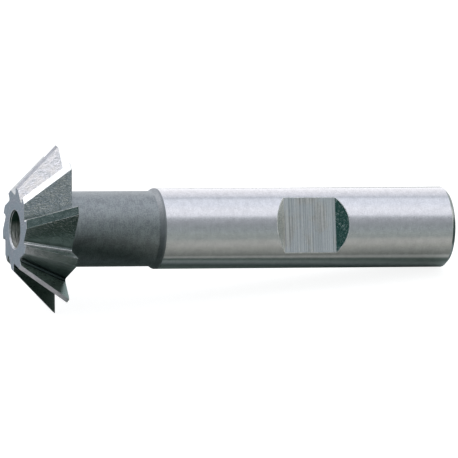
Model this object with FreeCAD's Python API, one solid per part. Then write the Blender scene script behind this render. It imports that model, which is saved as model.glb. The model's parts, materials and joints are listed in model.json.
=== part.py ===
import FreeCAD, Part
import math
import os

# Angle milling cutter, right-hand, with straight teeth on a conical head, a neck and a
# cylindrical shank with one driving flat. It is ground from a single bar of high-speed steel.
# Lengths are in millimetres and angles in degrees.
# The tool is made along +X, from the front face of the head at x = 0 to the end of the shank.
# Angles about its axis are counted from +Y towards +Z, and the teeth cut towards smaller ones.
# At the end it is laid down as it comes to rest on a bench.

# Head
teeth = 10
head_diameter = 25.0        # over the cutting corners at the back of the head
head_width = 6.3
cone_angle = 45.0           # between the cutting edges and the axis
rake_angle = 3.0            # of the cutting faces, at the head diameter
relief_angle = 7.0          # of the lands behind the cutting edges
land_width = 1.25
gullet_depth = 3.75         # down the rake face to the root, at the back of the head
gullet_radius = 0.5
grinding_allowance = 0.3    # left on the cone until the lands are ground
head_fillet = 0.8           # between the back of the head and the neck

# Neck and shank
overall_length = 67.0
neck_diameter = 11.2
shoulder_length = 0.6       # of the chamfer that leads from the neck up to the shank
runout_length = 0.6         # of full diameter between that chamfer and the ground shank
shank_diameter = 12.0
shank_length = 45.0         # ground, with the chamfer at its end
shank_chamfer = 0.6

# Driving flat in the shank
flat_length = 8.0
flat_depth = 1.65
flat_to_end = 22.5          # from the middle of the flat to the end of the shank
flank_angle = 45.0          # of the walls at both ends of the flat
flat_direction = 180.0      # the flat is made looking towards -Y
tooth_lead = 13.8           # by which a tooth runs ahead of the middle of the flat

# Hole in the front face, with a cone at its bottom
bore_diameter = 5.5
bore_depth = 5.0
bore_chamfer = 0.2
bore_cone_angle = 60.0

# Centre hole in the end of the shank
centre_diameter = 4.0
centre_cone_angle = 60.0
pilot_diameter = 1.6
pilot_length = 1.5
drill_point_angle = 118.0

# The cutter lies on this tooth and the next, counted backwards from the one ahead of the flat.
resting_tooth = 3

head_radius = head_diameter / 2
neck_radius = neck_diameter / 2
shank_radius = shank_diameter / 2
pitch = 360.0 / teeth
cone = math.radians(cone_angle)
rake_offset = head_radius * math.sin(math.radians(rake_angle))

axis_x = FreeCAD.Vector(1, 0, 0)
axis_y = FreeCAD.Vector(0, 1, 0)
axis_z = FreeCAD.Vector(0, 0, 1)
origin = FreeCAD.Vector(0, 0, 0)


def turned_about_x(vector, angle):
    return FreeCAD.Rotation(axis_x, angle).multVec(vector)


def cone_depth(radius, full_angle):
    return radius / math.tan(math.radians(full_angle / 2))


def flat_face(corners):
    return Part.Face(Part.makePolygon(corners + corners[:1]))


def revolved(outline):
    """A turned solid from the corners of its outline, each a place on the axis and a radius."""
    corners = [FreeCAD.Vector(x, 0, radius) for x, radius in outline]
    return flat_face(corners).revolve(origin, axis_x, 360)


def edges_through(shape, point):
    spot = Part.Vertex(point)
    return [edge for edge in shape.Edges if edge.distToShape(spot)[0] < 1e-6]


def cutting_corner(x):
    """The cutting edge of the first tooth, at a place along the axis.

    Its rake face is parallel to the axis and lies above it by the rake offset.
    """
    radius = head_radius - (head_width - x) * math.tan(cone)
    return FreeCAD.Vector(x, math.sqrt(radius ** 2 - rake_offset ** 2), rake_offset)


# Directions at the first tooth: along its cutting edge, square off the edge within the rake
# face, from the edge across the land to the heel, and square off the land.
along_edge = (cutting_corner(head_width) - cutting_corner(0)).normalize()
off_edge = axis_z.cross(along_edge)
land_slope = math.radians(relief_angle + rake_angle)
down_land = axis_z * math.cos(land_slope) - off_edge * math.sin(land_slope)
off_land = off_edge * math.cos(land_slope) + axis_z * math.sin(land_slope)


def heel(x):
    """The line behind the cutting edge where the land ends, at a place along the axis."""
    start = cutting_corner(0) + down_land * land_width
    return start + along_edge * ((x - start.x) / along_edge.x)


def turned_blank():
    """Head, neck and shank as turned, with the grinding allowance on the cone.

    The shank is drawn in two lengths, which meet at the middle of the flat.
    """
    allowance = grinding_allowance / math.cos(cone)
    front_radius = head_radius - head_width * math.tan(cone)
    shoulder_end = overall_length - shank_length - runout_length
    blank = revolved([
        (0, 0),
        (0, front_radius + allowance),
        (head_width, head_radius + allowance),
        (head_width, neck_radius),
        (shoulder_end - shoulder_length, neck_radius),
        (shoulder_end, shank_radius),
        (overall_length - flat_to_end, shank_radius),
        (overall_length - shank_chamfer, shank_radius),
        (overall_length, shank_radius - shank_chamfer),
        (overall_length, 0),
    ])
    corner = edges_through(blank, FreeCAD.Vector(head_width, neck_radius, 0))
    return blank.makeFillet(head_fillet, corner)


def gullet():
    """The straight V groove behind the first tooth, with the second tooth's rake on its far side.

    Its near side holds the heel, so that the land keeps its width from front to back.
    """
    down_rake = turned_about_x(axis_y, pitch) * -1
    root_back = turned_about_x(cutting_corner(head_width), pitch) + down_rake * gullet_depth
    off_back = along_edge.cross(root_back - heel(0))
    corner_front = turned_about_x(cutting_corner(0), pitch)
    depth_front = (heel(0) - corner_front).dot(off_back) / down_rake.dot(off_back)
    root_front = corner_front + down_rake * depth_front
    up_back = axis_x.cross(off_back).normalize()
    run = root_back - root_front
    start = root_front - run
    reach = 2 * head_diameter
    groove = flat_face([start, start - down_rake * reach, start + up_back * reach]).extrude(run * 3)
    return groove.makeFillet(gullet_radius, edges_through(groove, start + run * 1.5))


def land_stock():
    """The stock above the first land, which is ground off down to the cutting edge."""
    spare = land_width / 2
    start = cutting_corner(0) - along_edge * spare - down_land * spare
    edge_length = cutting_corner(0).distanceToPoint(cutting_corner(head_width))
    length = along_edge * (edge_length + 2 * spare)
    width = down_land * (land_width + 2 * spare)
    height = off_land * (land_width + grinding_allowance)
    return flat_face([start, start + length, start + length + width, start + width]).extrude(height)


def cut_teeth(blank):
    ground_off = []
    for index in range(teeth):
        for tool in (gullet(), land_stock()):
            tool.rotate(origin, axis_x, flat_direction - tooth_lead + index * pitch)
            ground_off.append(tool)
    return blank.cut(ground_off)


def front_bore():
    radius = bore_diameter / 2
    return revolved([
        (-bore_chamfer, 0),
        (-bore_chamfer, radius + 2 * bore_chamfer),
        (bore_chamfer, radius),
        (bore_depth, radius),
        (bore_depth + cone_depth(radius, bore_cone_angle), 0),
    ])


def shank_centre():
    mouth = centre_diameter / 2
    pilot = pilot_diameter / 2
    cone_end = overall_length - cone_depth(mouth - pilot, centre_cone_angle)
    pilot_end = cone_end - pilot_length
    return revolved([
        (overall_length, 0),
        (overall_length, mouth),
        (cone_end, pilot),
        (pilot_end, pilot),
        (pilot_end - cone_depth(pilot, drill_point_angle), 0),
    ])


def driving_flat():
    """The notch above the flat, drawn looking up and then turned to face its own way."""
    middle = overall_length - flat_to_end
    bottom = shank_radius - flat_depth
    rise = 2 * flat_depth
    half = flat_length / 2
    half_top = half + rise / math.tan(math.radians(flank_angle))
    side = [
        FreeCAD.Vector(middle - half, -shank_radius, bottom),
        FreeCAD.Vector(middle + half, -shank_radius, bottom),
        FreeCAD.Vector(middle + half_top, -shank_radius, bottom + rise),
        FreeCAD.Vector(middle - half_top, -shank_radius, bottom + rise),
    ]
    notch = flat_face(side).extrude(axis_y * shank_diameter)
    notch.rotate(origin, axis_x, flat_direction - 90)
    return notch


def lay_down(cutter):
    """Lays the cutter on two neighbouring teeth and on the edge of the chamfer of its shank.

    It touches with the heel of the resting tooth and the cutting corner of the one behind.
    """
    near_foot = heel(head_width)
    far_foot = turned_about_x(cutting_corner(head_width), pitch)
    span = far_foot - near_foot
    square_off = FreeCAD.Vector(0, span.z, -span.y).normalize()
    foot_radius = near_foot.dot(square_off)
    lean = math.degrees(math.atan2(square_off.z, square_off.y))
    foot_angle = flat_direction - tooth_lead + resting_tooth * pitch + lean
    base = overall_length - shank_chamfer - head_width
    tilt = math.degrees(math.atan2(foot_radius - shank_radius, base))
    cutter.rotate(origin, axis_x, 270 - foot_angle)
    cutter.rotate(origin, axis_y, tilt)
    box = cutter.optimalBoundingBox(False, False)
    cutter.translate(FreeCAD.Vector(-box.Center.x, -box.Center.y, -box.ZMin))
    return cutter


cutter = cut_teeth(turned_blank())
cutter = cutter.cut([front_bore(), shank_centre(), driving_flat()])
cutter = lay_down(cutter)

os.makedirs("parts", exist_ok=True)
cutter.exportStep("parts/angle_milling_cutter.step")
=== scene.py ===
import bmesh
import bpy
import json
import math
from mathutils import Matrix, Vector


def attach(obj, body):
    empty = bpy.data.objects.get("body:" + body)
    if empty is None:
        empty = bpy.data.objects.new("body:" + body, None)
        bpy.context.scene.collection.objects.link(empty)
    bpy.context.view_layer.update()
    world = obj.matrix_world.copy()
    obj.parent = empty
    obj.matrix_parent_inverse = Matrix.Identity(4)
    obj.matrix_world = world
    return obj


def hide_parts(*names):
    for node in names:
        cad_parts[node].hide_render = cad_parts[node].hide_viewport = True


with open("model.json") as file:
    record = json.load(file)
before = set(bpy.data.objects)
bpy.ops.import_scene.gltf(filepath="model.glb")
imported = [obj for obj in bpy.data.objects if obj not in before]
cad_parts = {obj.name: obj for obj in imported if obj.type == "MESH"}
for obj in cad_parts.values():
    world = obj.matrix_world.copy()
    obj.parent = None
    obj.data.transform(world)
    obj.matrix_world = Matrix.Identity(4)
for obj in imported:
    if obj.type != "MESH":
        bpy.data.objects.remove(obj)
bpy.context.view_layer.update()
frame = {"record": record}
print("frame loaded")

millimetre = 0.001
sameVertex = 1e-4          # mm within which two vertices are one
samePlace = 1e-3           # mm by which places on one circle or line may differ
cutTolerance = 1e-5
honedFrom = 28.0           # degrees by which an edge has to turn to be honed
edgeSegments = 2           # across a honed edge
smoothUpTo = 20.0          # degrees up to which the shading runs on over an edge

# the tool's own place: x along its axis from the front face, -y out of the driving flat, in mm
mounts = {mount["name"]: mount for mount in frame["record"]["mounts"]}
axis = -Vector(mounts["front_centre_hole"]["axis"]).normalized()
flatOut = Vector(mounts["driving_flat"]["axis"])
sideways = -(flatOut - axis * flatOut.dot(axis)).normalized()
toolTurn = Matrix((axis, sideways, axis.cross(sideways))).transposed().to_4x4()
toolPlace = (
    Matrix.Translation(Vector(mounts["front_centre_hole"]["pos_m"]))
    @ toolTurn
    @ Matrix.Scale(millimetre, 4)
)

# finishes, in the order of the cutter's material slots
finishes = [
    "groundShank", "blackNeck", "groundLand", "rakeFace", "toothBack", "rootRound", "frontFace",
    "boreWall", "flatBottom", "flatEnd", "shankEnd", "headBack", "brightEdge", "neckStep",
    "boreRim", "flatStart",
]

head = {
    "teeth": 10,
    "diameter": 25.0,      # over the cutting corners
    "width": 6.3,
    "coneAngle": 45.0,
    "rakeAngle": 3.0,
    "reliefAngle": 7.0,
    "landWidth": 1.25,
    "gulletDepth": 3.75,
    "rootRadius": 0.35,
    "backRadius": 0.8,     # between the back of the head and the neck
    "roundSegments": 12,   # of these two roundings
    "toothLead": 13.8,     # degrees by which one tooth runs ahead of the flat
    "edge": 0.035,         # width of the honed edges
    "cornerEdge": 0.13,    # across the back ends of the lands
}
shank = {
    "length": 67.0,        # of the whole cutter
    "backRing": 7.8,       # radius up to which the back of the head is turned with the neck
    "neckRadius": 5.6,
    "shoulder": (20.8, 21.4),
    "shoulderRound": 0.12,
    "groundFrom": 21.7,
    "radius": 6.0,
    "chamfer": 0.6,
    "endRound": 0.06,      # at both edges of that chamfer
    "roundSegments": 3,
    "boreRadius": 2.75,
    "boreDepth": 5.0,
    "boreChamfer": 0.2,
    "boreConeAngle": 60.0,
    "centreRadius": 2.0,
    "centreConeAngle": 60.0,
    "pilotRadius": 0.8,
    "pilotLength": 1.5,
    "drillAngle": 118.0,
    "segments": 180,
}
flat = {
    "length": 8.0,
    "depth": 1.65,
    "toEnd": 22.5,         # from its middle to the end of the shank
    "edge": 0.08,
    "facing": -3.2,        # the skin on this side of y can be cut
    "reach": 2.0,          # past both ends of the bottom, a little more than the depth
    "spare": 0.3,          # outside the sloping ends
}
flatDirection = 180.0      # degrees from +y towards +z, for the flat looks out of -y
firstTooth = flatDirection - head["toothLead"]


def addObject(name, bm):
    mesh = bpy.data.meshes.new(name)
    bm.to_mesh(mesh)
    bm.free()
    made = bpy.data.objects.new(name, mesh)
    bpy.context.scene.collection.objects.link(made)
    return made


def turned(point, degrees):
    return Matrix.Rotation(math.radians(degrees), 4, "X") @ point


def coneDepth(radius, fullAngle):
    return radius / math.tan(math.radians(fullAngle / 2))


def addChain(bm, points):
    verts = [bm.verts.new(point) for point in points]
    return verts, [bm.edges.new(pair) for pair in zip(verts, verts[1:])]


def roundCorner(bm, vert, size, segments):
    bmesh.ops.bevel(
        bm, geom=[vert], offset=size, segments=segments, profile=0.5,
        affect="VERTICES", material=-1,
    )


def toothLines():
    # ends of the cutting edge, the heel and the root of the first tooth, front first
    offset = head["diameter"] / 2 * math.sin(math.radians(head["rakeAngle"]))
    pitch = 360 / head["teeth"]
    width = head["width"]

    def corner(x):
        radius = head["diameter"] / 2 - (width - x) * math.tan(math.radians(head["coneAngle"]))
        return Vector((x, math.sqrt(radius ** 2 - offset ** 2), offset))

    alongEdge = (corner(width) - corner(0)).normalized()
    offEdge = Vector((0, 0, 1)).cross(alongEdge)
    slope = math.radians(head["reliefAngle"] + head["rakeAngle"])
    downLand = Vector((0, 0, math.cos(slope))) - offEdge * math.sin(slope)
    start = corner(0) + downLand * head["landWidth"]
    heelFront = start - alongEdge * (start.x / alongEdge.x)
    heelBack = heelFront + alongEdge * (width / alongEdge.x)
    downRake = turned(Vector((0, -1, 0)), pitch)
    rootBack = turned(corner(width), pitch) + downRake * head["gulletDepth"]
    offBack = alongEdge.cross(rootBack - heelFront)
    nextFront = turned(corner(0), pitch)
    drop = (heelFront - nextFront).dot(offBack) / downRake.dot(offBack)
    rootFront = nextFront + downRake * drop
    return (corner(0), corner(width)), (heelFront, heelBack), (rootFront, rootBack)


def finishFace(face, name):
    face.material_index = finishes.index(name)


def indexesOf(*names):
    return {finishes.index(name) for name in names}


def finishesBeside(edge):
    return {face.material_index for face in edge.link_faces}


def finishOfTurned(face):
    centre = face.calc_center_median()
    radius = math.hypot(centre.y, centre.z)
    if radius < shank["boreRadius"] + shank["boreChamfer"] and centre.x < shank["length"] / 2:
        return "boreWall" if centre.x > shank["boreChamfer"] else "boreRim"
    if centre.x < head["width"] + samePlace:
        return "headBack"
    if centre.x < shank["groundFrom"]:
        return "blackNeck" if centre.x < shank["shoulder"][0] else "neckStep"
    if centre.x > shank["length"] - shank["chamfer"] or radius < shank["centreRadius"]:
        return "shankEnd"
    return "groundShank"


def turnSector(bm, firstAngle, pitch, steps):
    # a tenth of all turned faces: the bore with its cone, and everything behind the head
    full, neck, body = shank["length"], shank["neckRadius"], shank["radius"]
    bore, edge = shank["boreRadius"], shank["boreChamfer"]
    centre, pilot = shank["centreRadius"], shank["pilotRadius"]
    coneTip = shank["boreDepth"] + coneDepth(bore, shank["boreConeAngle"])
    pilotStart = full - coneDepth(centre - pilot, shank["centreConeAngle"])
    pilotEnd = pilotStart - shank["pilotLength"]
    drillTip = pilotEnd - coneDepth(pilot, shank["drillAngle"])
    boreLine = [(coneTip, 0), (shank["boreDepth"], bore), (edge, bore), (0, bore + edge)]
    shankLine = [
        (head["width"], shank["backRing"]),
        (head["width"], neck),
        (shank["shoulder"][0], neck),
        (shank["shoulder"][1], body),
        (shank["groundFrom"], body),
        (full - shank["chamfer"], body),
        (full, body - shank["chamfer"]),
        (full, centre),
        (pilotStart, pilot),
        (pilotEnd, pilot),
        (drillTip, 0),
    ]
    # the rounded corners of the shank's line, each with its size and segments
    backRound = (head["backRadius"], head["roundSegments"])
    shoulderRound = (shank["shoulderRound"], shank["roundSegments"])
    endRound = (shank["endRound"], shank["roundSegments"])
    roundings = {1: backRound, 2: shoulderRound, 3: shoulderRound, 5: endRound, 6: endRound}
    for line, corners in ((boreLine, {}), (shankLine, roundings)):
        verts, _ = addChain(bm, [turned(Vector((x, r, 0)), firstAngle) for x, r in line])
        for index, (size, segments) in corners.items():
            roundCorner(bm, verts[index], size, segments)
    outline = bm.verts[:] + bm.edges[:]
    bmesh.ops.spin(
        bm, geom=outline, cent=(0, 0, 0), axis=(1, 0, 0), angle=math.radians(pitch),
        steps=steps, use_merge=False, use_duplicate=False,
    )
    bmesh.ops.remove_doubles(bm, verts=bm.verts[:], dist=sameVertex)
    for face in bm.faces:
        finishFace(face, finishOfTurned(face))


def openRim(bm, x, radius):
    # the sector's open edges on a circle in one plane
    found = []
    for edge in bm.edges:
        onPlane = all(abs(vert.co.x - x) < sameVertex for vert in edge.verts)
        offCircle = [abs(math.hypot(vert.co.y, vert.co.z) - radius) for vert in edge.verts]
        if edge.is_boundary and onPlane and max(offCircle) < samePlace:
            found.append(edge)
    return found


def looseEnds(edges):
    ends = [vert for edge in edges for vert in edge.verts]
    return [vert for vert in ends if ends.count(vert) == 1]


def makeTooth(bm, lines, pitch):
    # the gullet ahead of one tooth with its rake, the land, and a share of both ends of the head
    corners, heels, roots = lines
    chains = []
    for end in (0, 1):
        points = [turned(heels[end], -pitch), turned(roots[end], -pitch), corners[end], heels[end]]
        chains.append(addChain(bm, points))
    bands = bmesh.ops.bridge_loops(bm, edges=chains[0][1] + chains[1][1])["faces"]
    front = chains[0][0]
    for pair, name in zip(zip(front, front[1:]), ("toothBack", "rakeFace", "groundLand")):
        for face in bands:
            if set(pair) <= set(face.verts):
                finishFace(face, name)
    root = bm.edges.get((chains[0][0][1], chains[1][0][1]))
    tangent = head["rootRadius"] * math.tan(root.calc_face_angle() / 2)
    rounding = bmesh.ops.bevel(
        bm, geom=[root], offset=tangent, offset_type="OFFSET", segments=head["roundSegments"],
        profile=0.5, affect="EDGES", clamp_overlap=False, material=-1,
    )
    for face in rounding["faces"]:
        finishFace(face, "rootRound")
    tooth = indexesOf("groundLand", "rakeFace", "toothBack", "rootRound")
    mouth = shank["boreRadius"] + shank["boreChamfer"]
    ends = ((0, "frontFace", mouth), (head["width"], "headBack", shank["backRing"]))
    for x, name, radius in ends:
        rim = openRim(bm, x, radius)
        teethLine = [
            edge for edge in bm.edges
            if edge.is_boundary and edge not in rim
            and all(abs(vert.co.x - x) < sameVertex for vert in edge.verts)
            and finishesBeside(edge) <= tooth
        ]
        spokes = []
        for vert in looseEnds(teethLine):
            near = min(looseEnds(rim), key=lambda tip: (tip.co - vert.co).length)
            spokes.append(bm.edges.new((vert, near)))
        for face in bmesh.ops.contextual_create(bm, geom=rim + teethLine + spokes)["faces"]:
            finishFace(face, name)


def milledFlat(bm):
    # the shank's skin is cut along the flat and its sloping ends, opened and closed again
    middle = shank["length"] - flat["toEnd"]
    bottom = -(shank["radius"] - flat["depth"])
    half = flat["length"] / 2

    def cut(faces, point, normal):
        edges = {edge for face in faces for edge in face.edges}
        verts = {vert for face in faces for vert in face.verts}
        bmesh.ops.bisect_plane(
            bm, geom=faces + list(edges) + list(verts), dist=cutTolerance,
            plane_co=point, plane_no=normal,
        )

    def skin(condition):
        chosen = []
        for face in bm.faces:
            centre = face.calc_center_median()
            if face.material_index == finishes.index("groundShank") and condition(centre):
                chosen.append(face)
        return chosen

    def overFlat(centre, spare):
        # above the bottom or one of its sloping ends
        return abs(centre.x - middle) < half + (bottom - centre.y) + spare

    for side in (-1, 1):
        facing = skin(lambda centre: centre.y < flat["facing"])
        cut(facing, (middle + side * half, bottom, 0), (side, 1, 0))
    near = skin(
        lambda centre: centre.y < flat["facing"]
        and abs(centre.x - middle) < half + flat["reach"] and overFlat(centre, flat["spare"]))
    cut(near, (middle, bottom, 0), (0, 1, 0))
    opening = skin(
        lambda centre: centre.y < bottom - sameVertex and overFlat(centre, -sameVertex))
    bmesh.ops.delete(bm, geom=opening, context="FACES")
    rim = [edge for edge in bm.edges if edge.is_boundary]
    corners = []
    for vert in {vert for edge in rim for vert in edge.verts}:
        atEnd = abs(abs(vert.co.x - middle) - half) < samePlace
        if atEnd and abs(vert.co.y - bottom) < sameVertex:
            corners.append(vert)
    chords = []
    for side in (-1, 1):
        pair = [vert for vert in corners if (vert.co.x - middle) * side > 0]
        chords.append(bm.edges.new(pair))
    bottomEdges = [
        edge for edge in rim if all(abs(vert.co.y - bottom) < sameVertex for vert in edge.verts)
    ]
    for face in bmesh.ops.contextual_create(bm, geom=bottomEdges + chords)["faces"]:
        finishFace(face, "flatBottom")
    for side, name, chord in zip((-1, 1), ("flatStart", "flatEnd"), chords):
        arc = [
            edge for edge in rim
            if edge not in bottomEdges and (edge.verts[0].co.x - middle) * side > 0
        ]
        for face in bmesh.ops.contextual_create(bm, geom=arc + [chord])["faces"]:
            finishFace(face, name)


def sharpEdges(bm, start, end):
    # edges that turn by more than the shading follows, between two places along the axis
    found = []
    for edge in bm.edges:
        middle = (edge.verts[0].co.x + edge.verts[1].co.x) / 2
        if edge.is_manifold and start < middle < end:
            if edge.calc_face_angle() > math.radians(honedFrom):
                found.append(edge)
    return found


def landEnds(bm):
    meeting = indexesOf("groundLand", "headBack")
    return [edge for edge in bm.edges if finishesBeside(edge) == meeting]


def breakEdges(bm, edges, width):
    # only the cutting edges and the rims of the front face and the flat shine
    made = bmesh.ops.bevel(
        bm, geom=edges, offset=width, offset_type="OFFSET", segments=edgeSegments, profile=0.5,
        affect="EDGES", clamp_overlap=False, material=-1,
    )["faces"]
    strip = set(made)
    beside = {}
    for face in made:
        near = {other for edge in face.edges for other in edge.link_faces}
        beside[face] = {other.material_index for other in near - strip}
    dull = indexesOf("toothBack", "rootRound", "headBack")
    for face in made:
        kinds = set(beside[face])
        for edge in face.edges:
            for other in edge.link_faces:
                kinds |= beside.get(other, set())
        finishFace(face, "toothBack" if kinds & dull else "brightEdge")


def makeCutter():
    bm = bmesh.new()
    lines = toothLines()
    pitch = 360 / head["teeth"]
    heelAngle = math.degrees(math.atan2(lines[1][1].z, lines[1][1].y))
    turnSector(bm, heelAngle - pitch, pitch, shank["segments"] // head["teeth"])
    makeTooth(bm, lines, pitch)
    bmesh.ops.spin(
        bm, geom=bm.verts[:] + bm.edges[:] + bm.faces[:], cent=(0, 0, 0), axis=(1, 0, 0),
        angle=math.radians(360 - pitch), steps=head["teeth"] - 1, use_duplicate=True,
    )
    bmesh.ops.remove_doubles(bm, verts=bm.verts[:], dist=sameVertex)
    bmesh.ops.rotate(
        bm, verts=bm.verts[:], cent=(0, 0, 0),
        matrix=Matrix.Rotation(math.radians(firstTooth), 3, "X"),
    )
    bmesh.ops.recalc_face_normals(bm, faces=bm.faces[:])
    milledFlat(bm)
    breakEdges(bm, landEnds(bm), head["cornerEdge"])
    breakEdges(bm, sharpEdges(bm, -samePlace, head["width"] + samePlace), head["edge"])
    middle, length = shank["length"] - flat["toEnd"], flat["length"]
    rims = [edge for edge in sharpEdges(bm, middle - length, middle + length) if edge.is_convex]
    breakEdges(bm, rims, flat["edge"])
    openEdges = len([edge for edge in bm.edges if not edge.is_manifold])
    volume = round(bm.calc_volume(), 1)
    print("cutter:", len(bm.faces), "faces,", openEdges, "open edges,", volume, "mm3")
    bm.transform(toolPlace)
    cutter = addObject("cutter", bm)
    cutter.data.shade_smooth()
    cutter.data.set_sharp_from_angle(angle=math.radians(smoothUpTo))
    normals = cutter.modifiers.new("evenShading", "WEIGHTED_NORMAL")
    normals.mode = "FACE_AREA"
    normals.keep_sharp = True
    return cutter


# from the scene to the tool's own place, for the patterns of the finishes
toTool = toolPlace.inverted()
upInTool = (toTool.to_3x3() @ Vector((0, 0, 1))).normalized()


def addNode(tree, kind, values=None, **settings):
    node = tree.nodes.new(kind)
    for name, value in settings.items():
        setattr(node, name, value)
    for name, value in (values or {}).items():
        if isinstance(value, bpy.types.NodeSocket):
            tree.links.new(value, node.inputs[name])
        else:
            node.inputs[name].default_value = value
    return node


def newGroup(name, inputs, outputs):
    # inputs as name: default, with None for a place; the outputs are masks
    tree = bpy.data.node_groups.new(name, "ShaderNodeTree")
    for label, value in inputs.items():
        kind = "NodeSocketVector" if value is None else "NodeSocketFloat"
        socket = tree.interface.new_socket(label, in_out="INPUT", socket_type=kind)
        if value is not None:
            socket.default_value = value
    for label in outputs:
        tree.interface.new_socket(label, in_out="OUTPUT", socket_type="NodeSocketFloat")
    return tree, tree.nodes.new("NodeGroupInput"), tree.nodes.new("NodeGroupOutput")


def remap(tree, value, low, high, newLow, newHigh, smooth=False):
    node = addNode(
        tree, "ShaderNodeMapRange", {0: value, 1: low, 2: high, 3: newLow, 4: newHigh},
        interpolation_type="SMOOTHSTEP" if smooth else "LINEAR",
    )
    return node.outputs[0]


def fade(tree, value, ends):
    # 0 up to the first end and 1 past the second, whichever of them is the larger
    return remap(tree, value, *ends, 0.0, 1.0, True)


def mathNode(tree, operation, first, second=0.0):
    return addNode(tree, "ShaderNodeMath", {0: first, 1: second}, operation=operation).outputs[0]


def mixColor(tree, factor, first, second):
    node = addNode(tree, "ShaderNodeMix", {0: factor, 6: first, 7: second}, data_type="RGBA")
    return node.outputs[2]


def mixValue(tree, factor, first, second):
    return addNode(tree, "ShaderNodeMix", {0: factor, 2: first, 3: second}).outputs[0]


def groupNode(tree, group, values):
    return addNode(tree, "ShaderNodeGroup", values, node_tree=group)


patterns = {
    "lineDetail": 4.0,
    "lineRoughness": 0.62,
    "lineDistortion": 0.25,
    "cloudDetail": 3.0,
    "cloudShare": 0.4,         # of the clouds in the mottle
    "cloudFrom": (0.42, 0.60),
    "grainDetail": 4.0,
    "grainRoughness": 0.65,
    "middle": 0.5,             # of a noise's values
}


def makeGrindingLines():
    # lines left by a wheel or cutter: across x where Across is large, along it where it is small
    tree, given, result = newGroup(
        "grindingLines", {"Place": None, "Across": 4.0, "Around": 0.15, "Contrast": 1.0}, ["Mask"])
    stretch = addNode(tree, "ShaderNodeCombineXYZ", {
        0: given.outputs["Across"], 1: given.outputs["Around"], 2: given.outputs["Around"]})
    place = addNode(tree, "ShaderNodeVectorMath", {
        0: given.outputs["Place"], 1: stretch.outputs[0]}, operation="MULTIPLY").outputs[0]
    lines = addNode(tree, "ShaderNodeTexNoise", {
        "Vector": place, "Scale": 1.0, "Detail": patterns["lineDetail"],
        "Roughness": patterns["lineRoughness"], "Distortion": patterns["lineDistortion"]})
    spread = mathNode(tree, "SUBTRACT", lines.outputs["Fac"], patterns["middle"])
    mask = mathNode(tree, "MULTIPLY", spread, given.outputs["Contrast"])
    tree.links.new(mask, result.inputs["Mask"])
    return tree


def makeMottle():
    # soft clouds with small grains in them
    tree, given, result = newGroup(
        "mottle", {"Place": None, "Clouds": 0.6, "Grains": 5.0, "Contrast": 1.0},
        ["Mask", "Grain", "Cloud"],
    )
    clouds = addNode(tree, "ShaderNodeTexNoise", {
        "Vector": given.outputs["Place"], "Scale": given.outputs["Clouds"],
        "Detail": patterns["cloudDetail"]}).outputs["Fac"]
    grains = addNode(tree, "ShaderNodeTexNoise", {
        "Vector": given.outputs["Place"], "Scale": given.outputs["Grains"],
        "Detail": patterns["grainDetail"], "Roughness": patterns["grainRoughness"],
    }).outputs["Fac"]
    both = mathNode(tree, "ADD", mathNode(tree, "MULTIPLY", clouds, patterns["cloudShare"]), grains)
    spread = mathNode(tree, "SUBTRACT", both, (1 + patterns["cloudShare"]) * patterns["middle"])
    mask = mathNode(tree, "MULTIPLY", spread, given.outputs["Contrast"])
    grain = mathNode(tree, "SUBTRACT", grains, patterns["middle"])
    cloud = fade(tree, clouds, patterns["cloudFrom"])
    for label, value in (("Mask", mask), ("Grain", grain), ("Cloud", cloud)):
        tree.links.new(value, result.inputs[label])
    return tree


def makePaintedRootShade():
    # painted shade in the gullets: 1 in the roots, 0 a little way out of them
    tree, given, result = newGroup(
        "paintedRootShade", {"Place": None, "Inner": 0.15, "Outer": 0.9}, ["Mask"])
    pitch = 360 / head["teeth"]
    roots = [turned(root, firstTooth) for root in toothLines()[2]]
    middle = math.degrees(math.atan2(roots[0].z + roots[1].z, roots[0].y + roots[1].y))
    roots = [turned(root, -middle) for root in roots]
    x, y, z = addNode(tree, "ShaderNodeSeparateXYZ", {0: given.outputs["Place"]}).outputs
    radius = mathNode(tree, "SQRT", mathNode(
        tree, "ADD", mathNode(tree, "MULTIPLY", y, y), mathNode(tree, "MULTIPLY", z, z)))
    angle = mathNode(tree, "DEGREES", mathNode(tree, "ARCTAN2", z, y))
    turn = mathNode(tree, "DIVIDE", mathNode(tree, "SUBTRACT", angle, middle), pitch)
    near = mathNode(tree, "SUBTRACT", turn, mathNode(tree, "ROUND", turn))
    near = mathNode(tree, "RADIANS", mathNode(tree, "MULTIPLY", near, pitch))
    sides = []
    for direction, index in (("COSINE", 1), ("SINE", 2)):
        here = mathNode(tree, "MULTIPLY", radius, mathNode(tree, direction, near))
        there = remap(tree, x, roots[0].x, roots[1].x, roots[0][index], roots[1][index])
        gap = mathNode(tree, "SUBTRACT", here, there)
        sides.append(mathNode(tree, "MULTIPLY", gap, gap))
    distance = mathNode(tree, "SQRT", mathNode(tree, "ADD", *sides))
    mask = remap(tree, distance, given.outputs["Inner"], given.outputs["Outer"], 1.0, 0.0, True)
    tree.links.new(mask, result.inputs["Mask"])
    return tree


grindingLines = makeGrindingLines()
mottle = makeMottle()
paintedRootShade = makePaintedRootShade()


def startMaterial(name):
    material = bpy.data.materials.new(name)
    material.use_nodes = True
    tree = material.node_tree
    return material, tree, tree.nodes["Principled BSDF"]


def placeInTool(tree):
    # the tool's own place, in which the patterns are laid out
    here = addNode(tree, "ShaderNodeTexCoord").outputs["Object"]
    return addNode(tree, "ShaderNodeMapping", {
        "Vector": here,
        "Location": toTool.to_translation(),
        "Rotation": toTool.to_euler(),
        "Scale": toTool.to_scale(),
    }).outputs[0]


steel = {
    "marks": (-0.3, 0.3),      # values of the marks that get the dark and the light colour
    "tintShare": 0.5,
    "rootShadeRough": 0.15,        # added to the roughness where the painted root shade is full
}


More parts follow.
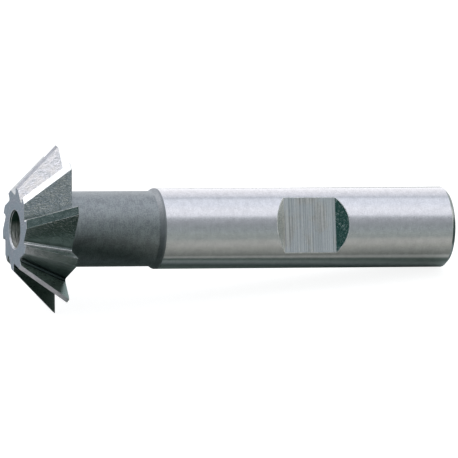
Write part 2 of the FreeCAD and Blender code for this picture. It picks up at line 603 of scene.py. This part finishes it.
def groundSteel(name, look):
    # steel with the marks of its grinding or milling, every face by its own values
    material, tree, shader = startMaterial(name)
    shader.inputs["Metallic"].default_value = 1.0
    tool = placeInTool(tree)
    lines = groupNode(tree, grindingLines, {
        "Place": tool, "Across": look["lines"], "Around": look["length"],
        "Contrast": look["contrast"]})
    spots = groupNode(tree, mottle, {
        "Place": tool, "Clouds": look["clouds"], "Grains": look["grains"],
        "Contrast": look["mottle"]})
    marks = mathNode(tree, "ADD", lines.outputs["Mask"], spots.outputs["Mask"])
    marks = remap(tree, marks, *look.get("marks", steel["marks"]), 0.0, 1.0)
    color = mixColor(tree, marks, look["dark"], look["light"])
    rough = remap(tree, marks, 0.0, 1.0, *look["rough"])
    if "tint" in look:
        tinted = mixColor(tree, steel["tintShare"], color, look["tint"])
        color = mixColor(tree, spots.outputs["Cloud"], color, tinted)
    # painted shade: the colour darkens between two heights along the scene's up, as shade falls on
    # the tool
    if "paintedShade" in look:
        up = addNode(tree, "ShaderNodeVectorMath", {0: tool, 1: upInTool}, operation="DOT_PRODUCT")
        paintedShadeShare = fade(tree, up.outputs["Value"], look["paintedShadeFrom"])
        color = mixColor(tree, paintedShadeShare, color, look["paintedShade"])
    # painted shade in the gullet roots, where shade falls, with rougher steel there
    if "rootShade" in look:
        inner, outer = look["rootShadeFrom"]
        rootShade = groupNode(tree, paintedRootShade, {"Place": tool, "Inner": inner, "Outer": outer})
        rootShade = rootShade.outputs["Mask"]
        rootShadeShare = mathNode(tree, "MULTIPLY", rootShade, look["rootShade"])
        color = mixColor(tree, rootShadeShare, color, look["rootShadeColor"])
        rough = mathNode(tree, "ADD", rough, mathNode(tree, "MULTIPLY", rootShade, steel["rootShadeRough"]))
    tree.links.new(color, shader.inputs["Base Color"])
    tree.links.new(rough, shader.inputs["Roughness"])
    # both kinds of marks as heights in mm
    height = mathNode(
        tree, "ADD", mathNode(tree, "MULTIPLY", lines.outputs["Mask"], look["lineHeight"]),
        mathNode(tree, "MULTIPLY", spots.outputs["Grain"], look["grainHeight"]))
    bump = addNode(tree, "ShaderNodeBump", {
        "Height": height, "Strength": 1.0, "Distance": millimetre})
    tree.links.new(bump.outputs[0], shader.inputs["Normal"])
    return material


# lines and length scale the marks along and around the tool, and clouds and grains the mottle.
# Painted shade comes between two heights above the tool's axis, in mm, and in the gullet roots.
looks = {
    "groundShank": {"lines": 8.0, "length": 0.15, "contrast": 0.4, "clouds": 1.2, "grains": 9.0,
                    "mottle": 2.1, "dark": (0.60, 0.60, 0.61, 1), "light": (0.77, 0.77, 0.78, 1),
                    "rough": (0.10, 0.15), "lineHeight": 0.002, "grainHeight": 0.004},
    "blackNeck": {"lines": 5.0, "length": 0.6, "contrast": 1.1, "clouds": 0.9, "grains": 6.0,
                  "mottle": 3.2, "dark": (0.26, 0.28, 0.29, 1), "light": (0.39, 0.42, 0.43, 1),
                  "rough": (0.40, 0.47), "lineHeight": 0.006, "grainHeight": 0.03},
    "neckStep": {"lines": 3.0, "length": 0.6, "contrast": 0.6, "clouds": 0.5, "grains": 6.0,
                 "mottle": 2.0, "dark": (0.28, 0.30, 0.31, 1), "light": (0.40, 0.42, 0.44, 1),
                 "rough": (0.52, 0.60), "lineHeight": 0.004, "grainHeight": 0.012},
    "groundLand": {"lines": 0.5, "length": 5.0, "contrast": 0.8, "clouds": 0.8, "grains": 6.0,
                   "mottle": 2.8, "dark": (0.46, 0.49, 0.50, 1), "light": (0.78, 0.78, 0.80, 1),
                   "rough": (0.08, 0.14), "lineHeight": 0.012, "grainHeight": 0.01,
                   "paintedShade": (0.08, 0.08, 0.10, 1), "paintedShadeFrom": (10.40, 12.30)},
    "rakeFace": {"lines": 0.5, "length": 4.0, "contrast": 1.2, "clouds": 0.8, "grains": 5.0,
                 "mottle": 1.8, "dark": (0.23, 0.28, 0.26, 1), "light": (0.46, 0.51, 0.48, 1),
                 "rough": (0.27, 0.33), "lineHeight": 0.02, "grainHeight": 0.015,
                 "rootShade": 0.15, "rootShadeFrom": (0.55, 0.80), "rootShadeColor": (0.04, 0.07, 0.06, 1),
                 "paintedShade": (0.24, 0.30, 0.27, 1), "paintedShadeFrom": (-5.00, -6.60)},
    "toothBack": {"lines": 0.12, "length": 3.6, "contrast": 1.3, "clouds": 0.7, "grains": 7.0,
                  "mottle": 2.0, "dark": (0.37, 0.40, 0.40, 1), "light": (0.67, 0.69, 0.71, 1),
                  "rough": (0.07, 0.11), "lineHeight": 0.054, "grainHeight": 0.008,
                  "rootShade": 0.6, "rootShadeFrom": (0.42, 1), "rootShadeColor": (0.10, 0.13, 0.12, 1),
                  "tint": (0.52, 0.52, 0.48, 1),
                  "paintedShade": (0.26, 0.32, 0.30, 1), "paintedShadeFrom": (5.2, 1.5)},
    "rootRound": {"lines": 0.25, "length": 2.6, "contrast": 0.8, "clouds": 0.7, "grains": 7.0,
                  "mottle": 2.0, "dark": (0.42, 0.45, 0.45, 1), "light": (0.62, 0.64, 0.64, 1),
                  "rough": (0.16, 0.24), "lineHeight": 0.02, "grainHeight": 0.008,
                  "paintedShade": (0.05, 0.07, 0.07, 1), "paintedShadeFrom": (-1.0, -4.0)},
    "frontFace": {"lines": 0.5, "length": 0.5, "contrast": 0.3, "clouds": 0.8, "grains": 5.0,
                  "mottle": 1.9, "dark": (0.52, 0.59, 0.64, 1), "light": (0.66, 0.71, 0.76, 1),
                  "rough": (0.20, 0.28), "lineHeight": 0.004, "grainHeight": 0.006,
                  "tint": (0.56, 0.54, 0.60, 1)},
    "boreWall": {"lines": 3.0, "length": 0.5, "contrast": 2.6, "clouds": 0.6, "grains": 9.0,
                 "mottle": 2.2, "dark": (0.40, 0.42, 0.40, 1), "light": (0.66, 0.68, 0.64, 1),
                 "rough": (0.45, 0.60), "lineHeight": 0.06, "grainHeight": 0.03,
                 "paintedShade": (0.03, 0.07, 0.05, 1), "paintedShadeFrom": (-1.3, 0.4)},
    "boreRim": {"lines": 1.0, "length": 1.0, "contrast": 1.0, "clouds": 1.2, "grains": 6.0,
                "mottle": 3.0, "dark": (0.24, 0.27, 0.28, 1), "light": (0.52, 0.55, 0.58, 1),
                "rough": (0.35, 0.50), "lineHeight": 0.01, "grainHeight": 0.02,
                "paintedShade": (0.03, 0.06, 0.05, 1), "paintedShadeFrom": (-1.1, 0.2)},
    "flatBottom": {"lines": 5.0, "length": 0.04, "contrast": 3.2, "clouds": 0.4, "grains": 4.0,
                   "mottle": 0.5, "dark": (0.54, 0.53, 0.52, 1), "light": (1.00, 0.97, 0.94, 1),
                   "rough": (0.14, 0.26), "lineHeight": 0.016, "grainHeight": 0.01,
                   "tint": (0.74, 0.79, 0.85, 1)},
    "flatStart": {"lines": 2.0, "length": 1.6, "contrast": 0.8, "clouds": 0.6, "grains": 6.0,
                  "mottle": 1.0, "dark": (0.36, 0.39, 0.38, 1), "light": (0.45, 0.48, 0.48, 1),
                  "rough": (0.14, 0.24), "lineHeight": 0.006, "grainHeight": 0.006},
    "flatEnd": {"lines": 2.0, "length": 1.6, "contrast": 1.6, "clouds": 3.0, "grains": 18.0,
                "mottle": 3.4, "dark": (0.14, 0.30, 0.28, 1), "light": (0.66, 0.74, 0.72, 1),
                "marks": (0.20, 0.55), "rough": (0.07, 0.33), "lineHeight": 0.006,
                "grainHeight": 0.010},
    "shankEnd": {"lines": 3.0, "length": 0.3, "contrast": 0.8, "clouds": 0.5, "grains": 4.0,
                 "mottle": 0.8, "dark": (0.45, 0.48, 0.48, 1), "light": (0.62, 0.64, 0.64, 1),
                 "rough": (0.14, 0.22), "lineHeight": 0.01, "grainHeight": 0.01},
    "headBack": {"lines": 0.5, "length": 0.5, "contrast": 0.4, "clouds": 0.6, "grains": 4.0,
                 "mottle": 1.0, "dark": (0.42, 0.45, 0.48, 1), "light": (0.58, 0.60, 0.63, 1),
                 "rough": (0.26, 0.34), "lineHeight": 0.01, "grainHeight": 0.01},
    "brightEdge": {"lines": 2.0, "length": 2.0, "contrast": 0.6, "clouds": 1.2, "grains": 6.0,
                   "mottle": 2.0, "dark": (0.50, 0.52, 0.52, 1), "light": (0.95, 0.95, 0.96, 1),
                   "rough": (0.36, 0.50), "lineHeight": 0.0, "grainHeight": 0.02},
}

cutter = makeCutter()
for name in finishes:
    cutter.data.materials.append(groundSteel(name, looks[name]))
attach(cutter, "root")
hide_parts("angle_milling_cutter")
print("materials done")


room = {
    # light from the front horizon (0 degrees) over the top to the back (180), as the right, the
    # middle and the left third of the room show it
    "right": [
        (0, (0.38, 0.42, 0.41)), (12, (0.36, 0.40, 0.41)), (27, (0.35, 0.38, 0.40)),
        (41, (0.44, 0.46, 0.50)), (47, (0.51, 0.54, 0.58)), (51, (0.68, 0.71, 0.77)),
        (57, (1.00, 1.02, 1.10)), (74, (1.08, 1.10, 1.18)), (95, (0.97, 1.01, 1.12)),
        (111, (0.94, 0.98, 1.08)), (119, (0.66, 0.70, 0.78)), (127, (0.89, 0.91, 0.99)),
        (150, (1.10, 1.10, 1.16)), (180, (1.36, 1.36, 1.40)),
    ],
    "middle": [
        (0, (0.07, 0.09, 0.09)), (34, (0.12, 0.14, 0.15)), (48, (0.15, 0.17, 0.145)),
        (66, (0.30, 0.33, 0.29)), (80, (1.05, 1.06, 1.12)), (130, (1.10, 1.10, 1.14)),
        (158, (1.15, 1.16, 1.24)), (174, (0.50, 0.51, 0.57)), (180, (0.40, 0.41, 0.45)),
    ],
    "left": [
        (0, (0.12, 0.15, 0.14)), (20, (0.10, 0.13, 0.12)), (25, (0.27, 0.32, 0.34)),
        (30, (0.62, 0.68, 0.76)), (36, (0.62, 0.68, 0.76)), (42, (0.25, 0.30, 0.31)),
        (47, (0.06, 0.09, 0.085)), (58, (0.045, 0.08, 0.075)), (69, (0.06, 0.09, 0.085)),
        (76, (1.00, 1.00, 1.02)), (81, (1.22, 1.22, 1.28)), (85, (1.34, 1.28, 1.38)),
        (112, (1.40, 1.35, 1.46)), (119, (2.20, 2.20, 2.20)),
        (138, (2.20, 2.20, 2.20)), (148, (1.30, 1.30, 1.33)), (160, (0.85, 0.86, 0.92)),
        (180, (0.45, 0.46, 0.50)),
    ],
    "farRight": (0.14, 0.17, 0.16, 1),
    "farLeft": (0.041, 0.060, 0.057, 1),
    "endOn": (0.60, 0.58, 0.56, 1),        # straight along the tool, past its shank end
    "brightest": 2.2,
    "fromMiddle": (-0.12, 0.10),           # share of the direction along the tool
    "fromLeft": (-0.45, -0.12),
    "toFarRight": (0.42, 0.58),
    "toFarLeft": (-0.90, -0.94),
    "toEndOn": (0.84, 0.92),
}


def colorBand(tree, value, stops, brightest=1.0):
    # a colour ramp over the range of its stops
    first, last = stops[0][0], stops[-1][0]
    ramp = addNode(tree, "ShaderNodeValToRGB", {0: remap(tree, value, first, last, 0.0, 1.0)})
    elements = ramp.color_ramp.elements
    while len(elements) < len(stops):
        elements.new(1.0)
    for element, (place, color) in zip(elements, stops):
        element.position = (place - first) / (last - first)
        element.color = [part / brightest for part in color] + [1]
    return ramp.outputs[0]


def makeRoom():
    world = bpy.data.worlds.new("studio")
    bpy.context.scene.world = world
    world.use_nodes = True
    tree = world.node_tree
    direction = addNode(tree, "ShaderNodeTexCoord").outputs["Generated"]
    parts = addNode(tree, "ShaderNodeSeparateXYZ", {0: direction})
    along = addNode(
        tree, "ShaderNodeVectorMath", {0: direction, 1: axis}, operation="DOT_PRODUCT",
    ).outputs["Value"]
    front = mathNode(tree, "MULTIPLY", parts.outputs[1], -1.0)
    around = mathNode(tree, "DEGREES", mathNode(tree, "ARCTAN2", parts.outputs[2], front))
    left, middle, right = [
        colorBand(tree, around, room[side], room["brightest"])
        for side in ("left", "middle", "right")
    ]
    light = mixColor(tree, fade(tree, along, room["fromLeft"]), left, middle)
    light = mixColor(tree, fade(tree, along, room["fromMiddle"]), light, right)
    for ends, color in (("toFarRight", "farRight"), ("toFarLeft", "farLeft"), ("toEndOn", "endOn")):
        light = mixColor(tree, fade(tree, along, room[ends]), light, room[color])
    white = (1 / room["brightest"],) * 3 + (1,)
    seen = addNode(tree, "ShaderNodeLightPath").outputs["Is Camera Ray"]
    background = tree.nodes["Background"]
    tree.links.new(mixColor(tree, seen, light, white), background.inputs[0])
    background.inputs[1].default_value = room["brightest"]


ground = {
    "size": 3.0,
    "rough": 0.9,
    "glow": 0.87,                     # only for the camera, so that its shadow stays faint
    "seen": (0.40, 0.40, 0.40, 1),
    # what the steel sees of the floor, from the front to the back in mm: pale, with painted shadow
    # under the tool, and one light line in front of it
    "mirrored": [
        (-60.0, (0.44, 0.47, 0.44)), (-30.0, (0.58, 0.58, 0.53)), (-21.0, (0.60, 0.59, 0.54)),
        (-17.3, (0.56, 0.56, 0.50)), (-14.5, (0.53, 0.53, 0.47)), (-12.2, (0.48, 0.49, 0.44)),
        (-10.4, (0.42, 0.43, 0.38)), (-8.9, (0.38, 0.39, 0.35)), (-8.3, (0.74, 0.74, 0.68)),
        (-7.7, (0.76, 0.76, 0.70)), (-7.1, (0.28, 0.33, 0.29)), (-6.4, (0.21, 0.27, 0.24)),
        (-5.7, (0.36, 0.41, 0.38)), (-5.1, (0.56, 0.62, 0.59)), (-4.4, (0.52, 0.57, 0.56)),
        (-3.7, (0.38, 0.43, 0.42)), (-2.9, (0.25, 0.31, 0.30)), (-2.2, (0.18, 0.23, 0.21)),
        (5.0, (0.19, 0.23, 0.21)), (12.0, (0.36, 0.40, 0.42)), (20.0, (0.97, 0.97, 0.98)),
    ],
    "along": 0.045,                   # by which the line comes nearer to the right
    "left": (0.38, 0.41, 0.43, 1),    # past the head
    "leftFront": (0.60, 0.58, 0.58, 1),
    "leftFrom": (-0.029, -0.032),
    "leftFrontFrom": (0.020, 0.006),
    "farLeft": (0.97, 0.97, 0.95, 1),
    "farLeftFrom": (-0.078, -0.083),
    "farLeftGlow": 0.5,
    "right": (0.08, 0.11, 0.10, 1),   # past the shank
    "rightFrom": (0.0405, 0.0440),
    "rightFront": (-0.018, -0.013),        # this dark part ends here towards the front
    "behind": 0.45,                   # glow far behind the tool, in mirrored rays alone
    "behindFrom": (0.020, 0.040),
    "behindLeft": (-0.030, -0.015),
    # a dark card at the front left, painted shadow in front of the neck, seen by the steel alone
    "card": (0.045, 0.072, 0.06, 1),
    "cardRight": (-0.0134, -0.0148),
    "cardRightLean": 0.30,
    "cardBack": (0.0006, -0.0012),
    "cardBackLean": -0.28,
    "cardLeft": (-0.0264, -0.0250),        # left of this the card begins further to the front
    "cardLeftBack": (-0.0104, -0.0118),
    "cardFront": (-0.032, -0.028),         # it ends here towards the front, further out at its left
    "cardFrontLean": -1.0,
    "cardFrontFrom": -0.030,
    "cardEnd": (0.14, 0.16, 0.14, 1),     # its far left end is paler
    "cardEndFrom": (-0.0475, -0.0495),
}


def cardAndShadow(tree, across, depth):
    # the dark card and the painted shadow in front of the neck, with straight edges that lean a
    # little
    leanRight = mathNode(tree, "MULTIPLY", depth, ground["cardRightLean"])
    rightSide = mathNode(tree, "ADD", across, leanRight)
    leanBack = mathNode(tree, "MULTIPLY", across, ground["cardBackLean"])
    backSide = mathNode(tree, "ADD", depth, leanBack)
    nearPart = mathNode(
        tree, "MULTIPLY", fade(tree, across, ground["cardLeft"]),
        fade(tree, backSide, ground["cardBack"]))
    farPart = fade(tree, depth, ground["cardLeftBack"])
    onCardAndShadow = mathNode(
        tree, "MULTIPLY", fade(tree, rightSide, ground["cardRight"]),
        mathNode(tree, "MAXIMUM", nearPart, farPart))
    pastLeft = mathNode(tree, "SUBTRACT", across, ground["cardFrontFrom"])
    pastLeft = mathNode(tree, "MINIMUM", pastLeft, 0.0)
    leanFront = mathNode(tree, "MULTIPLY", pastLeft, ground["cardFrontLean"])
    frontSide = mathNode(tree, "ADD", depth, leanFront)
    return mathNode(tree, "MULTIPLY", onCardAndShadow, fade(tree, frontSide, ground["cardFront"]))


def floorInSteel(tree, across, depth, farLeft):
    # the floor as the steel mirrors it, with painted shadow under the tool
    leaning = mathNode(tree, "MULTIPLY", across, ground["along"])
    toBack = mathNode(tree, "SUBTRACT", depth, leaning)
    toBack = mathNode(tree, "MULTIPLY", toBack, 1 / millimetre)
    mirrored = colorBand(tree, toBack, ground["mirrored"])
    atFront = fade(tree, depth, ground["leftFrontFrom"])
    left = mixColor(tree, atFront, ground["left"], ground["leftFront"])
    mirrored = mixColor(tree, fade(tree, across, ground["leftFrom"]), mirrored, left)
    mirrored = mixColor(tree, farLeft, mirrored, ground["farLeft"])
    toRight = mathNode(
        tree, "MULTIPLY", fade(tree, across, ground["rightFrom"]),
        fade(tree, depth, ground["rightFront"]))
    mirrored = mixColor(tree, toRight, mirrored, ground["right"])
    onCardAndShadow = cardAndShadow(tree, across, depth)
    onCardAndShadow = mathNode(tree, "MULTIPLY", onCardAndShadow, mathNode(tree, "SUBTRACT", 1.0, farLeft))
    toEnd = fade(tree, across, ground["cardEndFrom"])
    card = mixColor(tree, toEnd, ground["card"], ground["cardEnd"])
    return mixColor(tree, onCardAndShadow, mirrored, card)


def makeFloor():
    bm = bmesh.new()
    bmesh.ops.create_grid(bm, x_segments=1, y_segments=1, size=ground["size"])
    floor = addObject("floor", bm)
    material, tree, shader = startMaterial("paleFloor")
    shader.inputs["Roughness"].default_value = ground["rough"]
    shader.inputs["Specular IOR Level"].default_value = 0.0
    shader.inputs["Emission Color"].default_value = (1, 1, 1, 1)
    here = addNode(tree, "ShaderNodeTexCoord").outputs["Object"]
    across, depth, _ = addNode(tree, "ShaderNodeSeparateXYZ", {0: here}).outputs
    farLeft = fade(tree, across, ground["farLeftFrom"])
    mirrored = floorInSteel(tree, across, depth, farLeft)
    seen = addNode(tree, "ShaderNodeLightPath").outputs["Is Camera Ray"]
    color = mixColor(tree, seen, mirrored, ground["seen"])
    tree.links.new(color, shader.inputs["Base Color"])
    behind = remap(tree, depth, *ground["behindFrom"], 0.0, ground["behind"], True)
    behind = mathNode(tree, "MULTIPLY", behind, fade(tree, across, ground["behindLeft"]))
    glow = mathNode(tree, "MULTIPLY", farLeft, ground["farLeftGlow"])
    glow = mathNode(tree, "ADD", behind, glow)
    glow = mixValue(tree, seen, glow, ground["glow"])
    tree.links.new(glow, shader.inputs["Emission Strength"])
    floor.data.materials.append(material)


flag = {
    "corners": [(-0.036, 0.0005), (-0.014, 0.0005), (-0.014, 0.015), (-0.036, 0.015)],
    "front": -0.023,
    "color": (0.005, 0.02, 0.015, 1),
    "rough": 1.0,
}


def makeFlag():
    # a small dark card standing in front of the lowest tooth, seen by the steel alone
    bm = bmesh.new()
    bm.faces.new([bm.verts.new((x, flag["front"], z)) for x, z in flag["corners"]])
    card = addObject("flag", bm)
    material, _, shader = startMaterial("flagBlack")
    shader.inputs["Base Color"].default_value = flag["color"]
    shader.inputs["Roughness"].default_value = flag["rough"]
    card.data.materials.append(material)
    card.visible_camera = card.visible_diffuse = card.visible_shadow = False


makeRoom()
makeFloor()
makeFlag()
bpy.context.scene.view_settings.view_transform = "Standard"

camera = {
    "azimuth": 17.0,       # to the left of straight on
    "elevation": 22.3,
    "roll": 0.75,
    "distance": 1.5,
    "target": (-0.00022, 0.0, 0.0091),
    "pixelsPerMetre": 6730,
    "pictureWidth": 458,
    "sensorWidth": 36,
    "clip": (0.05, 20),
}


def makeCamera():
    azimuth, elevation = math.radians(camera["azimuth"]), math.radians(camera["elevation"])
    back = Vector((
        -math.sin(azimuth) * math.cos(elevation), -math.cos(azimuth) * math.cos(elevation),
        math.sin(elevation),
    ))
    right = Vector((math.cos(azimuth), -math.sin(azimuth), 0))
    up = back.cross(right)
    place = Matrix((right, up, back)).transposed().to_4x4()
    lens = bpy.data.cameras.new("camera")
    lens.sensor_width = camera["sensorWidth"]
    magnified = camera["pixelsPerMetre"] * camera["distance"]
    lens.lens = magnified * camera["sensorWidth"] / camera["pictureWidth"]
    lens.clip_start, lens.clip_end = camera["clip"]
    view = bpy.data.objects.new("camera", lens)
    view.matrix_world = (
        Matrix.Translation(Vector(camera["target"]) + back * camera["distance"])
        @ place @ Matrix.Rotation(math.radians(camera["roll"]), 4, "Z")
    )
    bpy.context.scene.collection.objects.link(view)
    bpy.context.scene.camera = view


makeCamera()
print("studio and camera done")
